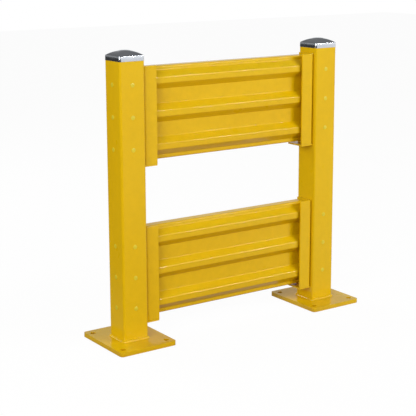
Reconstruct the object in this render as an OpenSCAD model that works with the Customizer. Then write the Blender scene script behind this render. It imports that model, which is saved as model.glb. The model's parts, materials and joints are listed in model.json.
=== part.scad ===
// Steel guard rail for one bay: two square posts on bolted base plates,
// joined by two three-rib rails in angle brackets. Millimetres, +Z up.
// Origin: on the floor, midway between the posts. X runs along the rails, -Y is the front.

/* [Bay] */
// Distance between the post centres
post_spacing = 870; // [600:10:2400]
// Height of the posts' open top above the floor
post_top = 1020; // [1010:1:1200]

/* [Posts] */
// Outside width of the square post
post_w = 101.6; // [90:0.1:120]
// Wall thickness of the post
post_wall = 4.8; // [3:0.1:8]
// Outside corner radius of the post
post_corner = 8; // [5.5:0.5:12]

/* [Base plates] */
// Width of the base plate, along the bay
plate_w = 230; // [220:1:300]
// Depth of the base plate, across the bay
plate_d = 278; // [240:1:320]
// Thickness of the base plate
plate_t = 16; // [10:1:25]
// Corner radius of the base plate
plate_corner = 12; // [5:1:20]
// Distance between the anchor holes, along the bay
anchor_dx = 180; // [150:1:186]
// Distance between the anchor holes, across the bay
anchor_dy = 216; // [150:1:220]
// Diameter of an anchor hole
anchor_hole_d = 20; // [12:1:26]
// Leg of the fillet weld round the post's foot
weld_leg = 8; // [4:1:12]

/* [Rails] */
// Height of a rail's section
rail_h = 335; // [330:1:342]
// Sheet thickness of a rail
rail_t = 3; // [2:0.1:3.5]
// Distance from one rib to the next
rib_pitch = 119; // [114:1:120]
// Flat height of a rib's crest
rib_crest = 22; // [18:1:26]
// Height of each sloping side of a rib
rib_slope = 22.5; // [20:0.5:25]
// How far a rib stands forward of the web
rib_depth = 23; // [16:1:26]
// How far the top and bottom lips turn back from the web
rail_lip = 38; // [20:1:46]
// Front radius of the bends in the sheet
bend_r = 6; // [4:0.5:8]

/* [Brackets] */
// Length of a bracket's angle, above its stop plate
angle_h = 350; // [346:1:360]
// Width of the front flange, from the post's face
flange_w = 55; // [40:1:70]
// Plate thickness of a bracket
bracket_t = 6.4; // [5:0.1:8]
// How far the flange lies behind the post's front face
flange_setback = 12; // [8:0.5:16]
// Depth of the bracket's leg that is bolted to the post
bracket_depth = 84; // [80:1:88]
// Height of the lower bracket's bottom edge above the floor
lower_bracket_z = 67; // [40:1:90]
// Height of the upper bracket's bottom edge above the floor
upper_bracket_z = 643; // [560:1:650]
// Gap between the rail's top edge and the bracket's top edge
rail_drop = 6; // [4:0.5:8]
// Gap between a rib's crest and the flange in front of it
crest_gap = 5; // [2:0.5:8]
// Gap between a rail's end and the bracket's post plate
rail_end_gap = 12; // [10:0.5:20]

/* [Bolts and plugs] */
// Distance from one bolt hole to the next, up the post
hole_pitch = 114; // [100:1:120]
// Diameter of the bolt shanks
bolt_d = 16; // [12:1:16]
// Diameter of the low domed bolt heads
bolt_head_d = 32; // [26:1:36]
// Diameter of the plug holes in the other faces of the post
plug_hole_d = 13; // [8:0.5:16]
// Diameter of the plug heads
plug_head_d = 16; // [15:0.5:22]

/* [Caps] */
// Height of the cap's straight skirt
cap_skirt = 19; // [12:1:26]
// Rise of the domed top above the skirt
cap_rise = 18; // [12:1:26]
// How far the skirt stands proud of the post
cap_proud = 0.8; // [0:0.1:2]
// Wall thickness of the cap
cap_wall = 3; // [2:0.5:4]
// How far the cap's plug reaches down into the post
cap_plug = 24; // [12:1:40]

/* [Hidden] */
$fn = 64;
powder_yellow = [0.87, 0.71, 0.10];
plug_yellow = [0.83, 0.80, 0.20];
weld_yellow = [0.86, 0.69, 0.12];
chrome_grey = [0.80, 0.82, 0.85];
eps = 0.01;

post_half = post_w / 2;
post_x = post_spacing / 2;
inner_face_x = post_x - post_half;
flange_front_y = -post_half + flange_setback;
crest_y = flange_front_y + bracket_t + crest_gap;
web_y = crest_y + rib_depth;
rail_end_x = inner_face_x - bracket_t - rail_end_gap;
rail_margin = (rail_h - 2 * rib_pitch - rib_crest - 2 * rib_slope) / 2;
bracket_h = angle_h + bracket_t;
fit_gap = 0.2;
bolt_head_h = 8;
nut_af = 24;
nut_h = 13;
shank_past_nut = 4;
plug_head_h = 1.6;
plug_shank = 9;
nugget_h = 16;
nugget_w = 9;
nugget_inset = 18;
cap_w = post_w + 2 * cap_proud;

// Heights of the three bolt holes behind a bracket whose bottom edge is at z.
function hole_zs(z) = [for (k = [-1:1]) z + bracket_t + angle_h / 2 + k * hole_pitch];

// Height of a rail's bottom edge in a bracket whose bottom edge is at z.
function rail_z(z) = z + bracket_h - rail_drop - rail_h;

// All hole heights of one face of a post.
all_hole_zs = concat(hole_zs(lower_bracket_z), hole_zs(upper_bracket_z));

// A rectangle with true round corners, centred on the origin.
module rounded_rect(w, d, r) {
    square([w - 2 * r, d], center = true);
    square([w, d - 2 * r], center = true);
    for (sx = [-1, 1], sy = [-1, 1])
        translate([sx * (w / 2 - r), sy * (d / 2 - r)]) circle(r);
}

// Moves its children to a post: side -1 is the left one, +1 its mirror image.
module at_post(side) {
    mirror([side > 0 ? 1 : 0, 0, 0]) translate([-post_x, 0, 0]) children();
}

// ---- base plate ----

module base_plate(side) {
    color(powder_yellow) at_post(side) difference() {
        linear_extrude(plate_t) rounded_rect(plate_w, plate_d, plate_corner);
        for (sx = [-1, 1], sy = [-1, 1])
            translate([sx * anchor_dx / 2, sy * anchor_dy / 2, -1])
                cylinder(h = plate_t + 2, d = anchor_hole_d);
    }
}

// ---- post: a hollow tube drilled on all four faces ----

// One row of drillings through the wall that faces along the given angle.
module face_holes(angle, d) {
    for (z = all_hole_zs)
        translate([0, 0, z]) rotate([0, 90, angle])
            translate([0, 0, post_half - post_wall - 1]) cylinder(h = post_wall + 2, d = d);
}

module post(side) {
    color(powder_yellow) at_post(side) difference() {
        translate([0, 0, plate_t])
            linear_extrude(post_top - plate_t) difference() {
                rounded_rect(post_w, post_w, post_corner);
                rounded_rect(post_w - 2 * post_wall, post_w - 2 * post_wall, post_corner - post_wall);
            }
        face_holes(0, bolt_d + 2 * fit_gap);
        for (angle = [90, 180, 270]) face_holes(angle, plug_hole_d);
    }
}

// ---- fillet weld round the foot of a post ----

// Section of the bead: two legs and a slightly hollow face.
module weld_section() {
    hollow_r = weld_leg * 1.6;
    reach = sqrt(hollow_r * hollow_r - weld_leg * weld_leg / 2);
    centre = weld_leg / 2 + reach / sqrt(2);
    difference() {
        polygon([[0, 0], [weld_leg, 0], [0, weld_leg]]);
        translate([centre, centre]) circle(hollow_r);
    }
}

module foot_weld(side) {
    straight = post_w - 2 * post_corner;
    color(weld_yellow) at_post(side) translate([0, 0, plate_t])
        for (turn = [0:90:270]) rotate([0, 0, turn]) {
            translate([post_half, straight / 2, 0]) rotate([90, 0, 0])
                linear_extrude(straight) weld_section();
            translate([straight / 2, straight / 2, 0]) rotate_extrude(angle = 90)
                translate([post_corner, 0]) weld_section();
        }
}

// ---- post cap: a domed shell with a plug that holds it in the tube ----

// Solid under a shallow dome of four curved faces, on a skirt with round corners.
module cap_body(side_w, skirt, rise, r) {
    dome_r = (side_w * side_w / 4 + rise * rise) / (2 * rise);
    intersection() {
        linear_extrude(skirt + rise) rounded_rect(side_w, side_w, r);
        translate([0, 0, skirt + rise - dome_r]) intersection() {
            rotate([90, 0, 0]) cylinder(h = side_w + 2, r = dome_r, center = true, $fn = 180);
            rotate([0, 90, 0]) cylinder(h = side_w + 2, r = dome_r, center = true, $fn = 180);
        }
    }
}

module post_cap(side) {
    plug_w = post_w - 2 * post_wall - 2 * fit_gap;
    bore_w = plug_w - 2 * cap_wall;
    plug_r = post_corner - post_wall;
    color(chrome_grey) at_post(side) translate([0, 0, post_top]) {
        difference() {
            cap_body(cap_w, cap_skirt, cap_rise, post_corner + cap_proud);
            translate([0, 0, cap_wall])
                cap_body(bore_w, cap_skirt - cap_wall, cap_rise - cap_wall, plug_r);
            translate([0, 0, -eps])
                linear_extrude(cap_wall + 2 * eps) rounded_rect(bore_w, bore_w, plug_r);
        }
        translate([0, 0, -cap_plug]) linear_extrude(cap_plug) difference() {
            rounded_rect(plug_w, plug_w, plug_r);
            rounded_rect(bore_w, bore_w, plug_r);
        }
    }
}

// ---- rail: one bent sheet with three ribs ----

// Corner points (y, z) of the front surface, from the bottom lip up to the top lip.
function rib_corners(z) = [
    [web_y, z],
    [crest_y, z + rib_slope],
    [crest_y, z + rib_slope + rib_crest],
    [web_y, z + 2 * rib_slope + rib_crest]
];

rail_corners = [
    [web_y + rail_lip, 0],
    [web_y, 0],
    for (k = [0:2]) each rib_corners(rail_margin + k * rib_pitch),
    [web_y, rail_h],
    [web_y + rail_lip, rail_h]
];

function unit(v) = v / norm(v);
function left_of(v) = [-v[1], v[0]];
function cross2(a, b) = a[0] * b[1] - a[1] * b[0];

// Points of the arc of radius r that rounds corner b between a and c.
function bend_points(a, b, c, r, steps = 6) =
    let (
        u = unit(a - b),
        v = unit(c - b),
        turn = acos(u * v),
        centre = b + unit(u + v) * r / sin(turn / 2),
        start = b + u * r / tan(turn / 2) - centre,
        swing = (180 - turn) * sign(cross2(b - a, c - b))
    )
    [for (k = [0:steps])
        let (w = swing * k / steps)
        centre + [start[0] * cos(w) - start[1] * sin(w), start[0] * sin(w) + start[1] * cos(w)]
    ];

// One surface of the sheet, lying d behind the front corners, with bends of its own radius.
function shifted_corner(p, k, d) =
    let (
        before = k == 0 ? unit(p[1] - p[0]) : unit(p[k] - p[k - 1]),
        after = k == len(p) - 1 ? before : unit(p[k + 1] - p[k]),
        n = left_of(before) + left_of(after)
    )
    p[k] - n * d * 2 / (n * n);

function sheet_surface(p, d, r_out, r_in) =
    let (q = [for (k = [0:len(p) - 1]) shifted_corner(p, k, d)])
    [
        q[0],
        for (k = [1:len(p) - 2])
            each bend_points(q[k - 1], q[k], q[k + 1],
                cross2(p[k] - p[k - 1], p[k + 1] - p[k]) > 0 ? r_in : r_out),
        q[len(q) - 1]
    ];

module rail_section() {
    front = sheet_surface(rail_corners, 0, bend_r, bend_r - rail_t);
    back = sheet_surface(rail_corners, rail_t, bend_r - rail_t, bend_r);
    polygon(concat(front, [for (k = [len(back) - 1:-1:0]) back[k]]));
}

module rail(z) {
    color(powder_yellow)
        translate([-rail_end_x, 0, rail_z(z)])
            rotate([90, 0, 90]) linear_extrude(2 * rail_end_x) rail_section();
}

// ---- bracket: an angle with one leg bolted to the post and one in front of the rail ----

module bracket(side, z) {
    inside_r = 3;
    outside_r = inside_r + bracket_t;
    color(powder_yellow) at_post(side) difference() {
        translate([post_half, flange_front_y, z + bracket_t]) linear_extrude(angle_h) difference() {
            union() {
                translate([0, outside_r]) square([bracket_t, bracket_depth - outside_r]);
                translate([outside_r, 0]) square([flange_w - outside_r, bracket_t]);
                intersection() {
                    translate([outside_r, outside_r]) circle(outside_r);
                    square(outside_r);
                }
            }
            translate([outside_r, outside_r]) circle(inside_r);
        }
        for (hole_z = hole_zs(z))
            translate([post_half - 1, 0, hole_z]) rotate([0, 90, 0])
                cylinder(h = bracket_t + 2, d = bolt_d + 2 * fit_gap);
    }
}

// Level plate welded across the bottom of a bracket, under the rail's end.
module stop_plate(side, z) {
    color(powder_yellow) at_post(side)
        translate([post_half, flange_front_y, z]) cube([flange_w, bracket_depth, bracket_t]);
}

// ---- bolts through bracket and post wall, with nuts inside the tube ----

module bracket_bolts(side, z) {
    dome_r = (bolt_head_d * bolt_head_d / 4 + bolt_head_h * bolt_head_h) / (2 * bolt_head_h);
    grip = bracket_t + post_wall;
    color(powder_yellow) at_post(side)
        for (hole_z = hole_zs(z))
            translate([post_half + bracket_t, 0, hole_z]) rotate([0, 90, 0]) {
                intersection() {
                    cylinder(h = bolt_head_h, d = bolt_head_d);
                    translate([0, 0, bolt_head_h - dome_r]) sphere(dome_r);
                }
                translate([0, 0, -grip - nut_h - shank_past_nut])
                    cylinder(h = grip + nut_h + shank_past_nut + eps, d = bolt_d);
                translate([0, 0, -grip - nut_h]) cylinder(h = nut_h, d = nut_af / cos(30), $fn = 6);
            }
}

// ---- weld nuggets that hold each rib's crest to the back of the flange ----

module rail_welds(side, z) {
    first_z = rail_z(z) + rail_margin + rib_slope + (rib_crest - nugget_h) / 2;
    color(weld_yellow) at_post(side)
        for (k = [0:2])
            translate([
                post_half + flange_w - nugget_inset - nugget_w,
                flange_front_y + bracket_t,
                first_z + k * rib_pitch
            ]) cube([nugget_w, crest_gap, nugget_h]);
}

// ---- plugs in the unused holes of one face of a post ----

module face_plugs(side, angle) {
    dome_r = (plug_head_d * plug_head_d / 4 + plug_head_h * plug_head_h) / (2 * plug_head_h);
    color(plug_yellow) at_post(side)
        for (z = all_hole_zs)
            translate([0, 0, z]) rotate([0, 90, angle]) translate([0, 0, post_half]) {
                intersection() {
                    cylinder(h = plug_head_h, d = plug_head_d);
                    translate([0, 0, plug_head_h - dome_r]) sphere(dome_r);
                }
                translate([0, 0, -plug_shank])
                    cylinder(h = plug_shank + eps, d = plug_hole_d - 2 * fit_gap);
            }
}

base_plate(-1);  // base_plate_left
base_plate(1);  // base_plate_right
post(-1);  // post_left
post(1);  // post_right
foot_weld(-1);  // foot_weld_left
foot_weld(1);  // foot_weld_right
post_cap(-1);  // post_cap_left
post_cap(1);  // post_cap_right
rail(lower_bracket_z);  // lower_rail
rail(upper_bracket_z);  // upper_rail
bracket(-1, lower_bracket_z);  // lower_bracket_left
bracket(1, lower_bracket_z);  // lower_bracket_right
bracket(-1, upper_bracket_z);  // upper_bracket_left
bracket(1, upper_bracket_z);  // upper_bracket_right
stop_plate(-1, lower_bracket_z);  // lower_stop_left
stop_plate(1, lower_bracket_z);  // lower_stop_right
stop_plate(-1, upper_bracket_z);  // upper_stop_left
stop_plate(1, upper_bracket_z);  // upper_stop_right
bracket_bolts(-1, lower_bracket_z);  // lower_bolts_left
bracket_bolts(1, lower_bracket_z);  // lower_bolts_right
bracket_bolts(-1, upper_bracket_z);  // upper_bolts_left
bracket_bolts(1, upper_bracket_z);  // upper_bolts_right
rail_welds(-1, lower_bracket_z);  // lower_rail_welds_left
rail_welds(1, lower_bracket_z);  // lower_rail_welds_right
rail_welds(-1, upper_bracket_z);  // upper_rail_welds_left
rail_welds(1, upper_bracket_z);  // upper_rail_welds_right
face_plugs(-1, -90);  // front_plugs_left
face_plugs(1, -90);  // front_plugs_right
face_plugs(-1, 90);  // back_plugs_left
face_plugs(1, 90);  // back_plugs_right
face_plugs(-1, 180);  // outer_plugs_left
face_plugs(1, 180);  // outer_plugs_right
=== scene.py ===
"""Looks of a one-bay steel guard rail: yellow powder coat, bright caps, plugs and welds.

Places come from the CAD frame, in metres, and a few named sizes repeat the CAD's. -Y is the front.
"""

import json
import math

import bmesh
import bpy
from mathutils import Matrix, Vector


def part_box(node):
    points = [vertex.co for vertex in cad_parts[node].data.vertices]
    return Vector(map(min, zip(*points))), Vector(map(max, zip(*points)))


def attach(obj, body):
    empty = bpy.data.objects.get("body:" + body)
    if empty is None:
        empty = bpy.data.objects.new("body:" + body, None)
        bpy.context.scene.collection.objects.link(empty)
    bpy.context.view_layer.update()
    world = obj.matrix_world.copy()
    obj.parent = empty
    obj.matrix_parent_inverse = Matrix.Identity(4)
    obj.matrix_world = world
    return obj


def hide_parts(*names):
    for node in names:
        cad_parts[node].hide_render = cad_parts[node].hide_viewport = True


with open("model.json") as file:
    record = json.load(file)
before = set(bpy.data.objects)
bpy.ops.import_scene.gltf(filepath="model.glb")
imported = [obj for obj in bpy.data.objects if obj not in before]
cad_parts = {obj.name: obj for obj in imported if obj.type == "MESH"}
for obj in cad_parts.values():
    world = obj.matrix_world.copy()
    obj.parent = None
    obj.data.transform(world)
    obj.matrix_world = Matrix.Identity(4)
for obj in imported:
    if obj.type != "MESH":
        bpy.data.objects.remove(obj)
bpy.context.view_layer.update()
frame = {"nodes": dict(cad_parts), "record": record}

nodes = frame["nodes"]
scene = bpy.context.scene

SIDES = (("left", -1), ("right", 1))
LEVELS = ("lower", "upper")
MM = 0.001


def box(name):
    """Lowest and highest corner of a CAD node."""
    low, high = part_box(name)
    return Vector(low), Vector(high)


POST_LOW, POST_HIGH = box("post_left")
POST_HALF = (POST_HIGH.x - POST_LOW.x) / 2
POST_X = abs(POST_LOW.x + POST_HIGH.x) / 2
PLATE_TOP = box("base_plate_left")[1].z
POST_CORNER = 8 * MM
CAP_SKIRT = 19 * MM
POST_TOP = POST_HIGH.z

# Rail section: number of ribs, their spacing, crest, slope and depth, sheet thickness, bend radius.
RIBS = 3
RIB_PITCH = 119 * MM
RIB_CREST = 22 * MM
RIB_SLOPE = 22.5 * MM
RIB_DEPTH = 23 * MM
SHEET = 3 * MM
BEND = 6 * MM


# ---- colours and node helpers -------------------------------------------------


def linear(r, g, b):
    """An sRGB colour of 0 to 255 as linear values with alpha."""

    def one(v):
        v = v / 255
        return v / 12.92 if v <= 0.04045 else ((v + 0.055) / 1.055) ** 2.4

    return (one(r), one(g), one(b), 1.0)


class Graph:
    """Short calls for building one material's nodes."""

    def __init__(self, name):
        self.mat = bpy.data.materials.new(name)
        self.mat.use_nodes = True
        self.tree = self.mat.node_tree
        self.shader = self.tree.nodes["Principled BSDF"]
        self.place = self.add("ShaderNodeTexCoord").outputs["Object"]

    def add(self, kind, **values):
        node = self.tree.nodes.new(kind)
        for key, value in values.items():
            setattr(node, key, value)
        return node

    def link(self, out, socket):
        self.tree.links.new(out, socket)

    def noise(self, scale, detail=2.0, rough=0.5, stretch=None):
        node = self.add("ShaderNodeTexNoise")
        node.inputs["Scale"].default_value = scale
        node.inputs["Detail"].default_value = detail
        node.inputs["Roughness"].default_value = rough
        place = self.place
        if stretch:
            mapping = self.add("ShaderNodeMapping")
            mapping.inputs["Scale"].default_value = stretch
            self.link(place, mapping.inputs["Vector"])
            place = mapping.outputs["Vector"]
        self.link(place, node.inputs["Vector"])
        return node.outputs["Fac"]

    def ramp(self, fac, *stops):
        node = self.add("ShaderNodeValToRGB")
        ramp = node.color_ramp
        while len(ramp.elements) < len(stops):
            ramp.elements.new(0.5)
        for element, (at, colour) in zip(ramp.elements, stops):
            element.position = at
            element.color = colour if len(colour) == 4 else (*colour, 1.0)
        self.link(fac, node.inputs["Fac"])
        return node.outputs["Color"]

    def grey(self, fac, low_at, low, high_at, high):
        """Maps fac from low_at..high_at to low..high, clamped."""
        node = self.add("ShaderNodeMapRange")
        for key, value in (
            ("From Min", low_at),
            ("From Max", high_at),
            ("To Min", low),
            ("To Max", high),
        ):
            node.inputs[key].default_value = value
        self.link(fac, node.inputs["Value"])
        return node.outputs["Result"]

    def math(self, operation, a, b):
        node = self.add("ShaderNodeMath", operation=operation)
        for socket, value in zip(node.inputs, (a, b)):
            if isinstance(value, (int, float)):
                socket.default_value = value
            else:
                self.link(value, socket)
        return node.outputs["Value"]

    def mix(self, fac, a, b, blend="MIX"):
        node = self.add("ShaderNodeMix", data_type="RGBA", blend_type=blend)
        for socket, value in zip((node.inputs[0], node.inputs[6], node.inputs[7]), (fac, a, b)):
            if isinstance(value, (int, float)):
                socket.default_value = value
            elif isinstance(value, tuple):
                socket.default_value = value
            else:
                self.link(value, socket)
        return node.outputs[2]

    def bump(self, height, distance, strength=1.0, under=None):
        node = self.add("ShaderNodeBump")
        node.inputs["Strength"].default_value = strength
        node.inputs["Distance"].default_value = distance
        self.link(height, node.inputs["Height"])
        if under is not None:
            self.link(under, node.inputs["Normal"])
        return node.outputs["Normal"]

    def set(self, **values):
        for key, value in values.items():
            self.shader.inputs[key.replace("_", " ")].default_value = value


# ---- materials ----------------------------------------------------------------

YELLOW = linear(226, 184, 5)
YELLOW_DEEP = linear(220, 175, 4)
YELLOW_LIGHT = linear(231, 192, 8)
# Used for the painted shade in creases and for dust specks.
YELLOW_DARK = linear(176, 118, 18)
# Painted shade colour for deep corners between parts.
YELLOW_CORNER_SHADE = linear(168, 82, 10)


def powder_coat(name, tone=1.0, streak=(1, 1, 1), orange_peel=0.5, coat=0.46):
    """Glossy yellow powder coat: slow colour drift, fine orange peel, painted shade in creases and deep
    corners, paler edges.
    """
    g = Graph(name)
    drift = g.noise(2.4, 3.0, 0.55, streak)
    base = g.ramp(drift, (0.30, YELLOW_DEEP), (0.52, YELLOW), (0.74, YELLOW_LIGHT))
    cloud = g.grey(g.noise(38.0, 4.0, 0.6), 0.35, 0.965, 0.68, 1.03)
    shade = g.add("ShaderNodeCombineColor")
    for channel in ("Red", "Green", "Blue"):
        g.link(g.math("MULTIPLY", cloud, tone), shade.inputs[channel])
    base = g.mix(1.0, base, shade.outputs["Color"], "MULTIPLY")
    # Painted shade: narrow creases are drawn a little darker and browner.
    geometry = g.add("ShaderNodeNewGeometry")
    painted_crease_shade = g.grey(geometry.outputs["Pointiness"], 0.40, 0.5, 0.485, 0.0)
    base = g.mix(painted_crease_shade, base, YELLOW_DARK)
    # Painted shade: deep corners between parts are drawn darker and more orange. Outer edges are a little
    # paler.
    painted_corner_shade = g.add("ShaderNodeAmbientOcclusion", samples=8)
    painted_corner_shade.inputs["Distance"].default_value = 35 * MM
    base = g.mix(g.grey(painted_corner_shade.outputs["AO"], 0.05, 0.85, 0.62, 0.0), base, YELLOW_CORNER_SHADE)
    edge = g.grey(geometry.outputs["Pointiness"], 0.52, 0.0, 0.60, 0.35)
    base = g.mix(edge, base, YELLOW_LIGHT)
    # A few specks of dust caught in the coat.
    specks = g.grey(g.noise(420.0, 1.0, 0.4), 0.76, 0.0, 0.80, 0.35)
    base = g.mix(specks, base, YELLOW_DARK)
    g.link(base, g.shader.inputs["Base Color"])
    rough = g.grey(g.noise(9.0, 3.0, 0.6), 0.3, 0.27, 0.7, 0.36)
    g.link(rough, g.shader.inputs["Roughness"])
    peel = g.noise(310.0, 2.0, 0.5)
    slow = g.noise(46.0, 2.0, 0.5)
    normal = g.bump(slow, 0.00022, orange_peel)
    normal = g.bump(peel, 0.00006, orange_peel, normal)
    g.link(normal, g.shader.inputs["Normal"])
    g.set(Specular_IOR_Level=0.10, Coat_Weight=coat, Coat_Roughness=0.05, Coat_IOR=1.5)
    return g.mat


def chrome():
    """Bright metallised plastic: fine polishing haze and a very slight waviness."""
    g = Graph("cap_chrome")
    haze = g.noise(14.0, 4.0, 0.6)
    base = g.ramp(haze, (0.3, linear(214, 220, 228)), (0.7, linear(234, 238, 244)))
    g.link(base, g.shader.inputs["Base Color"])
    g.link(g.grey(g.noise(30.0, 4.0, 0.65), 0.3, 0.10, 0.75, 0.20), g.shader.inputs["Roughness"])
    wave = g.bump(g.noise(22.0, 1.0, 0.4), 0.0006, 0.2)
    scratch = g.noise(60.0, 3.0, 0.7, (1.0, 14.0, 14.0))
    g.link(g.bump(scratch, 0.00002, 0.2, wave), g.shader.inputs["Normal"])
    g.set(Metallic=1.0)
    return g.mat


def plug_plastic():
    """Satin greenish yellow plastic with a faint moulding texture."""
    g = Graph("plug_plastic")
    drift = g.noise(60.0, 3.0, 0.5)
    base = g.ramp(drift, (0.3, linear(212, 194, 32)), (0.7, linear(225, 207, 48)))
    g.link(base, g.shader.inputs["Base Color"])
    g.link(g.grey(g.noise(120.0, 2.0, 0.5), 0.3, 0.30, 0.7, 0.42), g.shader.inputs["Roughness"])
    g.link(g.bump(g.noise(900.0, 2.0, 0.5), 0.00004, 0.5), g.shader.inputs["Normal"])
    g.set(Specular_IOR_Level=0.5, Coat_Weight=0.2, Coat_Roughness=0.2)
    return g.mat


MATERIALS = {
    "post_paint": powder_coat("post_paint", 1.0, (1, 1, 0.35)),
    "plate_paint": powder_coat("plate_paint", 0.99, coat=0.6),
    "rail_paint": powder_coat("rail_paint", 0.985, (0.3, 1, 1)),
    "bracket_paint": powder_coat("bracket_paint", 0.99, (1, 1, 0.4)),
    "bolt_paint": powder_coat("bolt_paint", 0.97),
    "weld_paint": powder_coat("weld_paint", 1.04, orange_peel=0.4, coat=1.0),
    "plug_plastic": plug_plastic(),
    "cap_chrome": chrome(),
}


# ---- CAD nodes: materials, softened edges -------------------------------------


def soften(obj, width, segments=3, angle=32):
    """Welds the imported faces together and rounds sharp edges by the paint's own radius."""
    weld = obj.modifiers.new("weld", "WELD")
    weld.merge_threshold = 2e-6
    bevel = obj.modifiers.new("edge", "BEVEL")
    bevel.width = width
    bevel.segments = segments
    bevel.limit_method = "ANGLE"
    bevel.angle_limit = math.radians(angle)
    bevel.harden_normals = True
    bevel.use_clamp_overlap = True


def dress_cad_nodes():
    slots = {s["node"]: s["material_slot"] for s in frame["record"]["subparts"]}
    for name, obj in nodes.items():
        obj.data.materials.clear()
        obj.data.materials.append(MATERIALS[slots[name]])


# ---- pieces -------------------------------------------------------------------


def piece(name, bm, slot, replaced=(), smooth_angle=35):
    """Makes one mesh piece from bm, with its material, its body and what it stands for."""
    mesh = bpy.data.meshes.new(name)
    bmesh.ops.recalc_face_normals(bm, faces=bm.faces)
    bm.to_mesh(mesh)
    bm.free()
    mesh.materials.append(MATERIALS[slot])
    obj = bpy.data.objects.new(name, mesh)
    scene.collection.objects.link(obj)
    for polygon in mesh.polygons:
        polygon.use_smooth = True
    mesh.set_sharp_from_angle(angle=math.radians(smooth_angle))
    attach(obj, "root")
    if replaced:
        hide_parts(*replaced)
    return obj


def sweep(bm, rings, closed):
    """Joins rings of equal length into a tube; closed joins the last ring to the first."""
    made = [[bm.verts.new(p) for p in ring] for ring in rings]
    count = len(made[0])
    pairs = list(zip(made, made[1:]))
    if closed:
        pairs.append((made[-1], made[0]))
    for a, b in pairs:
        for k in range(count):
            j = (k + 1) % count
            bm.faces.new((a[k], a[j], b[j], b[k]))
    if not closed:
        bm.faces.new(made[0])
        bm.faces.new(reversed(made[-1]))


def rounded_square_path(half, corner, spacing):
    """Points and outward normals, evenly spaced round a square with round corners."""
    straight = 2 * (half - corner)
    arc = math.pi / 2 * corner
    total = 4 * (straight + arc)
    count = round(total / spacing)
    out = []
    for k in range(count):
        s = k * total / count
        side, along = divmod(s, straight + arc)
        turn = Matrix.Rotation(side * math.pi / 2, 3, "Z")
        if along < straight:
            point = Vector((half, -straight / 2 + along, 0))
            normal = Vector((1, 0, 0))
        else:
            angle = (along - straight) / corner
            normal = Vector((math.cos(angle), math.sin(angle), 0))
            point = Vector((half - corner, half - corner, 0)) + normal * corner
        out.append((turn @ point, turn @ normal, s))
    return out


def foot_weld(side, sign):
    """Rippled fillet weld round the post's foot, in the place of the plain CAD ring."""
    leg = box(f"foot_weld_{side}")[1].z - PLATE_TOP
    ripple_pitch = 4.2 * MM
    arc_steps = 7
    bm = bmesh.new()
    rings = []
    sunk = 0.4 * MM
    for point, normal, s in rounded_square_path(POST_HALF, POST_CORNER, 1.05 * MM):
        wave = abs(math.sin(math.pi * s / ripple_pitch)) ** 0.6
        wander = 0.35 * MM * math.sin(s * 61) + 0.25 * MM * math.sin(s * 149 + 1.3)
        size = leg * (0.80 + 0.10 * wave) + wander * 0.6
        centre = point + Vector((sign * POST_X, 0, PLATE_TOP))
        up = Vector((0, 0, 1))
        ring = [centre - normal * sunk - up * sunk]
        for k in range(arc_steps + 1):
            t = k / arc_steps
            across, rise = size * (1 - t), size * t
            bulge = 0.16 * size * math.sin(math.pi * t) * (0.75 + 0.45 * wave)
            out_by = across + bulge - sunk * (t == 1)
            up_by = rise + bulge - sunk * (t == 0)
            ring.append(centre + normal * out_by + up * up_by)
        rings.append(ring)
    sweep(bm, rings, closed=True)
    return piece(f"foot_bead_{side}", bm, "weld_paint", (f"foot_weld_{side}",), 60)


def post_cap(side, sign):
    """Domed cap: straight skirt with a rolled bottom edge, soft shoulders and a four-sided pillow top."""
    low, high = box(f"post_cap_{side}")
    half = (high.x - low.x) / 2
    corner = POST_CORNER + (half - POST_HALF)
    rise_top = high.z
    skirt_top = POST_TOP + CAP_SKIRT
    steps = 26
    bm = bmesh.new()

    def outline(scale_half, corner_r, z, per_corner=9, per_side=12):
        ring = []
        straight = scale_half - corner_r
        for quarter in range(4):
            turn = Matrix.Rotation(quarter * math.pi / 2, 3, "Z")
            for k in range(per_side):
                ring.append(turn @ Vector((scale_half, straight * (2 * k / per_side - 1), 0)))
            for k in range(per_corner):
                a = math.pi / 2 * k / per_corner
                ring.append(
                    turn @ Vector((straight + corner_r * math.cos(a), straight + corner_r * math.sin(a), 0))
                )
        return [p + Vector((sign * POST_X, 0, z)) for p in ring]

    rings = []
    lip = 1.0 * MM
    rings.append(outline(half - 4 * MM, corner - 4 * MM, POST_TOP + 0.02 * MM))
    rings.append(outline(half - lip, corner - lip, POST_TOP + 0.02 * MM))
    for k in range(1, 5):
        a = math.pi / 2 * k / 4
        inset = lip * (1 - math.sin(a))
        rings.append(outline(half - inset, corner - inset, POST_TOP + lip * (1 - math.cos(a))))
    shoulder = 1.4 * MM
    rings.append(outline(half, corner, skirt_top - shoulder))
    # The shoulder rolls over, then the top follows a shallow crown whose sides stay flat-faced near the edge.
    crown = rise_top - skirt_top
    for k in range(1, 6):
        a = math.pi / 2 * k / 6
        inset = shoulder * (1 - math.cos(a))
        z = skirt_top - shoulder + shoulder * math.sin(a)
        rings.append(outline(half - inset, corner - inset * 0.5, z))
    start = half - shoulder * (1 - math.cos(math.pi / 2 * 5 / 6))
    for k in range(1, steps):
        t = k / steps
        at = start * (1 - t)
        z = skirt_top + crown * (1 - (1 - t) ** 2.4)
        rings.append(outline(at, min(at * 0.97, corner + 0.55 * (start - at)), z))
    made = [[bm.verts.new(p) for p in ring] for ring in rings]
    count = len(made[0])
    for a, b in zip(made, made[1:]):
        for k in range(count):
            j = (k + 1) % count
            bm.faces.new((a[k], a[j], b[j], b[k]))
    bm.faces.new(reversed(made[0]))
    tip = bm.verts.new(Vector((sign * POST_X, 0, rise_top - 0.05 * MM)))
    for k in range(count):
        bm.faces.new((made[-1][k], made[-1][(k + 1) % count], tip))
    return piece(f"domed_cap_{side}", bm, "cap_chrome", (f"post_cap_{side}",), 50)


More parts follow.
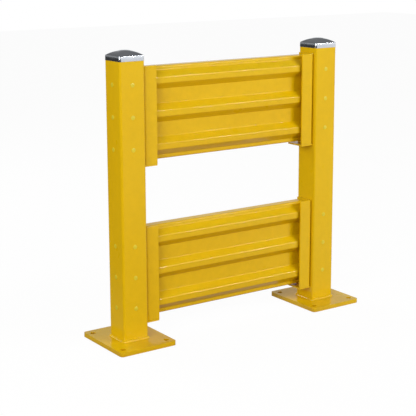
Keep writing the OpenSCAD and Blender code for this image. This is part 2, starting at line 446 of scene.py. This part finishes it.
def turned(bm, profile, place, steps=40):
    """Adds a turned solid: profile is (radius, height) from the axis out and back, place a 4x4 matrix."""
    rings = [
        [
            place @ Vector((r * math.cos(2 * math.pi * k / steps), r * math.sin(2 * math.pi * k / steps), h))
            for k in range(steps)
        ]
        for r, h in profile
    ]
    made = [[bm.verts.new(p) for p in ring] for ring in rings]
    for a, b in zip(made, made[1:]):
        for k in range(steps):
            j = (k + 1) % steps
            bm.faces.new((a[k], a[j], b[j], b[k]))
    bm.faces.new(reversed(made[0]))
    bm.faces.new(made[-1])


def hole_heights():
    """Centres of the bolt holes, from the bolts of both brackets."""
    out = []
    for level in LEVELS:
        low, high = box(f"{level}_bolts_left")
        head = (high.y - low.y) / 2
        for t in (0, 0.5, 1):
            out.append(low.z + head + t * (high.z - low.z - 2 * head))
    return out


FACES = {
    "front": (Vector((0, -1, 0)), 0),
    "back": (Vector((0, 1, 0)), 0),
    "outer": (Vector((1, 0, 0)), 1),
}


def face_plugs(face, side, sign):
    """Push-in plugs: a low rim, a shallow ring groove and a softly domed middle."""
    normal, mirrored = FACES[face]
    if mirrored:
        normal = normal * sign
    radius = 8.0 * MM
    height = 1.6 * MM
    bm = bmesh.new()
    for z in hole_heights():
        centre = Vector((sign * POST_X, 0, z)) + normal * POST_HALF
        place = Matrix.Translation(centre) @ normal.to_track_quat("Z", "Y").to_matrix().to_4x4()
        profile = [
            (6.2 * MM, -8.6 * MM),
            (6.2 * MM, -0.2 * MM),
            (radius, 0.0),
            (radius, 0.35 * height),
            (radius * 0.95, 0.62 * height),
            (radius * 0.88, 0.70 * height),
            (radius * 0.82, 0.62 * height),
            (radius * 0.78, 0.62 * height),
            (radius * 0.70, 0.78 * height),
            (radius * 0.50, 0.92 * height),
            (radius * 0.25, 0.985 * height),
            (radius * 0.06, height),
        ]
        turned(bm, profile, place)
    return piece(f"{face}_caps_{side}", bm, "plug_plastic", (f"{face}_plugs_{side}",), 40)


def bead(name, start, end, normal_a, normal_b, leg, replaced=()):
    """A short rippled fillet bead from start to end between two faces."""
    along = end - start
    length = along.length
    count = max(12, round(length / (1.0 * MM)))
    bm = bmesh.new()
    rings = []
    sunk = 0.3 * MM
    for k in range(count + 1):
        s = length * k / count
        ends = min(1.0, math.sqrt(max(0.0, min(s, length - s)) / (1.2 * leg)) + 0.25)
        wave = abs(math.sin(math.pi * s / (3.4 * MM))) ** 0.6
        size = leg * (0.82 + 0.14 * wave) * ends
        centre = start + along * (k / count)
        ring = [centre - normal_a * sunk - normal_b * sunk]
        for m in range(7):
            t = m / 6
            bulge = 0.18 * size * math.sin(math.pi * t)
            ring.append(
                centre
                + normal_a * (size * (1 - t) + bulge - sunk * (m == 6))
                + normal_b * (size * t + bulge - sunk * (m == 0))
            )
        rings.append(ring)
    sweep(bm, rings, closed=False)
    return piece(name, bm, "weld_paint", replaced, 60)


# ---- rails --------------------------------------------------------------------


def rail_corners(low, high):
    """Front corners of the rail's section as (y, z), from the bottom lip to the top lip."""
    web = low.y + RIB_DEPTH
    margin = (high.z - low.z - (RIBS - 1) * RIB_PITCH - RIB_CREST - 2 * RIB_SLOPE) / 2
    out = [(high.y, low.z), (web, low.z)]
    for k in range(RIBS):
        z = low.z + margin + k * RIB_PITCH
        out.append((web, z))
        out.append((low.y, z + RIB_SLOPE))
        out.append((low.y, z + RIB_SLOPE + RIB_CREST))
        out.append((web, z + 2 * RIB_SLOPE + RIB_CREST))
    out += [(web, high.z), (high.y, high.z)]
    return [Vector(p) for p in out]


def turn_of(a, b, c):
    """Positive where the path a, b, c turns left."""
    u, v = b - a, c - b
    return u.x * v.y - u.y * v.x


def sheet_side(corners, depth, left_r, right_r, steps=8):
    """One surface of the sheet, depth behind the front corners, with round bends."""

    def behind(direction):
        return Vector((-direction.y, direction.x))

    moved = []
    last = len(corners) - 1
    for k, p in enumerate(corners):
        before = (p - corners[k - 1]).normalized() if k else (corners[1] - p).normalized()
        after = (corners[k + 1] - p).normalized() if k < last else before
        n = behind(before) + behind(after)
        moved.append(p - n * (depth * 2 / n.dot(n)))
    out = [moved[0]]
    for k in range(1, last):
        a, b, c = moved[k - 1 : k + 2]
        left = turn_of(*corners[k - 1 : k + 2]) > 0
        radius = left_r if left else right_r
        u, v = (a - b).normalized(), (c - b).normalized()
        half_turn = math.acos(u.dot(v)) / 2
        centre = b + (u + v).normalized() * (radius / math.sin(half_turn))
        start = b + u * (radius / math.tan(half_turn)) - centre
        swing = (math.pi - 2 * half_turn) * (1 if left else -1)
        for m in range(steps + 1):
            out.append(centre + Matrix.Rotation(swing * m / steps, 2) @ start)
    out.append(moved[last])
    return out


def ribbed_rail(level):
    """Roll-formed sheet with smoothly rounded bends, in the place of the faceted CAD rail."""
    low, high = box(f"{level}_rail")
    corners = rail_corners(low, high)
    front = sheet_side(corners, 0, BEND - SHEET, BEND)
    back = sheet_side(corners, SHEET, BEND, BEND - SHEET)
    bm = bmesh.new()
    stations = 36
    rows = []
    for k in range(stations + 1):
        x = low.x + (high.x - low.x) * k / stations
        rows.append([[bm.verts.new((x, p.x, p.y)) for p in line] for line in (front, back)])
    for a, b in zip(rows, rows[1:]):
        for line_a, line_b in zip(a, b):
            for j in range(len(line_a) - 1):
                bm.faces.new((line_a[j], line_a[j + 1], line_b[j + 1], line_b[j]))
        for j in (0, -1):
            bm.faces.new((a[0][j], b[0][j], b[1][j], a[1][j]))
    for front_end, back_end in (rows[0], rows[-1]):
        for j in range(len(front_end) - 1):
            bm.faces.new((front_end[j], front_end[j + 1], back_end[j + 1], back_end[j]))
    rail = piece(f"ribbed_{level}_rail", bm, "rail_paint", (f"{level}_rail",), 30)
    edge = rail.modifiers.new("flat_faces", "WEIGHTED_NORMAL")
    edge.keep_sharp = True
    return rail


dress_cad_nodes()
for side, sign in SIDES:
    soften(nodes[f"base_plate_{side}"], 1.6 * MM)
    for level in LEVELS:
        soften(nodes[f"{level}_bracket_{side}"], 1.0 * MM)
        soften(nodes[f"{level}_stop_{side}"], 1.0 * MM)
        soften(nodes[f"{level}_rail_welds_{side}"], 1.5 * MM)
    foot_weld(side, sign)
    post_cap(side, sign)
    for face in FACES:
        face_plugs(face, side, sign)
for level in LEVELS:
    ribbed_rail(level)


# ---- beads where each stop plate meets its bracket ------------------------------


def stop_beads(level, side, sign):
    """A short bead inside the pocket, between the stop plate and the angle."""
    low, high = box(f"{level}_stop_{side}")
    plate = box(f"{level}_bracket_{side}")
    thick = high.z - low.z
    inner_x = plate[0].x + thick if sign < 0 else plate[1].x - thick
    toward_middle = Vector((-sign, 0, 0))
    start = Vector((inner_x, low.y + 16 * MM, high.z))
    end = Vector((inner_x, high.y - 8 * MM, high.z))
    bead(f"{level}_stop_bead_{side}", start, end, toward_middle, Vector((0, 0, 1)), 4.5 * MM)


for level in LEVELS:
    for side, sign in SIDES:
        stop_beads(level, side, sign)


# ---- floor, light and camera ----------------------------------------------------

# Strengths: even room light, the room's dark side in mirrors, the floor's dark side in mirrors,
# the floor's bounce, and how much of the floor is plain white to the camera.
ROOM_LIGHT = 0.20
DARK_ROOM = 0.17
DARK_FLOOR = 0.04
FLOOR_BOUNCE = (0.40, 0.30, 0.20, 1.0)
FLOOR_WHITE = 0.96


def stage_material():
    """Pale floor that the camera sees as nearly white, with a soft trace of the object's shadow."""
    g = Graph("studio_floor")
    path = g.add("ShaderNodeLightPath")
    tone = g.mix(path.outputs["Is Camera Ray"], FLOOR_BOUNCE, (1.0, 1.0, 1.0, 1.0))
    g.link(tone, g.shader.inputs["Base Color"])
    g.set(Roughness=0.9, Specular_IOR_Level=0.0)
    glow = g.add("ShaderNodeEmission")
    mix = g.add("ShaderNodeMixShader")
    # Mirrors see a white floor on the right and a dark one on the left.
    across = g.add("ShaderNodeSeparateXYZ")
    g.link(g.place, across.inputs["Vector"])
    fade = g.grey(across.outputs["X"], -1.0, DARK_FLOOR, 1.0, 0.78)
    mirror = g.math("MAXIMUM", path.outputs["Is Glossy Ray"], path.outputs["Is Transmission Ray"])
    seen = g.math("MULTIPLY", path.outputs["Is Camera Ray"], FLOOR_WHITE)
    mirrored = g.math("MULTIPLY", mirror, fade)
    g.link(g.math("MAXIMUM", path.outputs["Is Camera Ray"], mirrored), glow.inputs["Strength"])
    g.link(g.math("ADD", seen, mirror), mix.inputs[0])
    g.link(g.shader.outputs["BSDF"], mix.inputs[1])
    g.link(glow.outputs["Emission"], mix.inputs[2])
    output = g.tree.nodes["Material Output"]
    g.link(mix.outputs["Shader"], output.inputs["Surface"])
    return g.mat


def make_floor():
    bm = bmesh.new()
    reach = 14.0
    corners = [(-reach, -reach), (reach, -reach), (reach, reach), (-reach, reach)]
    bm.faces.new([bm.verts.new((x, y, -0.0005)) for x, y in corners])
    mesh = bpy.data.meshes.new("studio_floor")
    bm.to_mesh(mesh)
    bm.free()
    mesh.materials.append(stage_material())
    floor = bpy.data.objects.new("studio_floor", mesh)
    scene.collection.objects.link(floor)


def make_world():
    """Plain even light; white to the camera, and to mirrors a graded room."""
    world = bpy.data.worlds.new("studio")
    scene.world = world
    world.use_nodes = True
    tree = world.node_tree
    link = tree.links.new
    background = tree.nodes["Background"]
    background.inputs["Color"].default_value = (1, 1, 1, 1)

    def fade(out, from_min, from_max, to_min, to_max):
        node = tree.nodes.new("ShaderNodeMapRange")
        for key, value in (
            ("From Min", from_min),
            ("From Max", from_max),
            ("To Min", to_min),
            ("To Max", to_max),
        ):
            node.inputs[key].default_value = value
        link(out, node.inputs["Value"])
        return node.outputs["Result"]

    def combine(operation, a, b):
        node = tree.nodes.new("ShaderNodeMath")
        node.operation = operation
        link(a, node.inputs[0])
        link(b, node.inputs[1])
        return node.outputs["Value"]

    path = tree.nodes.new("ShaderNodeLightPath").outputs
    place = tree.nodes.new("ShaderNodeTexCoord").outputs["Generated"]
    split = tree.nodes.new("ShaderNodeSeparateXYZ")
    link(place, split.inputs["Vector"])
    # Mirrors see the white backdrop low on the right and a dark room above and on the left.
    by_height = fade(split.outputs["Z"], 0.10, 0.45, 1.0, DARK_ROOM)
    by_side = fade(split.outputs["X"], -0.35, 0.15, 2 * DARK_ROOM, 1.0)
    room = combine("MULTIPLY", by_height, by_side)
    is_mirror = combine("MAXIMUM", path["Is Glossy Ray"], path["Is Transmission Ray"])

    to_mirrors = tree.nodes.new("ShaderNodeMix")
    link(is_mirror, to_mirrors.inputs["Factor"])
    to_mirrors.inputs["A"].default_value = ROOM_LIGHT
    link(room, to_mirrors.inputs["B"])
    to_camera = tree.nodes.new("ShaderNodeMix")
    link(path["Is Camera Ray"], to_camera.inputs["Factor"])
    link(to_mirrors.outputs["Result"], to_camera.inputs["A"])
    to_camera.inputs["B"].default_value = 1.0
    link(to_camera.outputs["Result"], background.inputs["Strength"])


# Name, place, size and watts of each lamp; all face the middle of the object.
LAMPS = (
    ("high_right", (2.7, -3.6, 2.3), (3.0, 0.45), 145),
    ("front_left", (-3.5, -1.9, 1.9), (2.4, 2.4), 108),
    ("back_fill", (-0.9, 3.7, 3.0), (2.0, 2.0), 70),
)
LAMP_TARGET = Vector((0.0, 0.0, 0.5))


def area_light(name, place, size, power):
    data = bpy.data.lights.new(name, "AREA")
    data.shape = "RECTANGLE"
    data.size, data.size_y = size
    data.energy = power
    light = bpy.data.objects.new(name, data)
    scene.collection.objects.link(light)
    light.location = place
    light.rotation_mode = "QUATERNION"
    light.rotation_quaternion = (LAMP_TARGET - Vector(place)).to_track_quat("-Z", "Y")
    return light


# Camera: lens in mm on a 36 mm sensor, turn from +Y, downward pitch and roll in degrees,
# and its place from the left post's foot.
CAMERA_LENS = 100.22
CAMERA_SHIFT = -0.08
CAMERA_TURN = (34.649, 11.399, -0.192)
CAMERA_FROM_POST = Vector((-2.0450, -3.4653, 1.4236))


def make_camera():
    """Camera at the left front, a little above the caps."""
    data = bpy.data.cameras.new("camera")
    data.sensor_width = 36
    data.lens = CAMERA_LENS
    data.shift_y = CAMERA_SHIFT
    camera = bpy.data.objects.new("camera", data)
    scene.collection.objects.link(camera)
    yaw, pitch, roll = (math.radians(a) for a in CAMERA_TURN)
    forward = Vector((math.sin(yaw) * math.cos(pitch), math.cos(yaw) * math.cos(pitch), -math.sin(pitch)))
    right = Vector((math.cos(yaw), -math.sin(yaw), 0))
    up = right.cross(forward)
    right_rolled = right * math.cos(roll) + up * math.sin(roll)
    up_rolled = up * math.cos(roll) - right * math.sin(roll)
    turn = Matrix((right_rolled, up_rolled, -forward)).transposed()
    camera.rotation_mode = "QUATERNION"
    camera.rotation_quaternion = turn.to_quaternion()
    camera.location = Vector((-POST_X, 0, 0)) + CAMERA_FROM_POST
    data.clip_start = 0.1
    data.clip_end = 60
    scene.camera = camera


make_floor()
make_world()
for name, place, size, power in LAMPS:
    lamp = area_light(name, place, size, power)
    # The fill behind the object lights it without showing in mirrors.
    lamp.visible_glossy = name != "back_fill"
make_camera()
scene.view_settings.view_transform = "Standard"
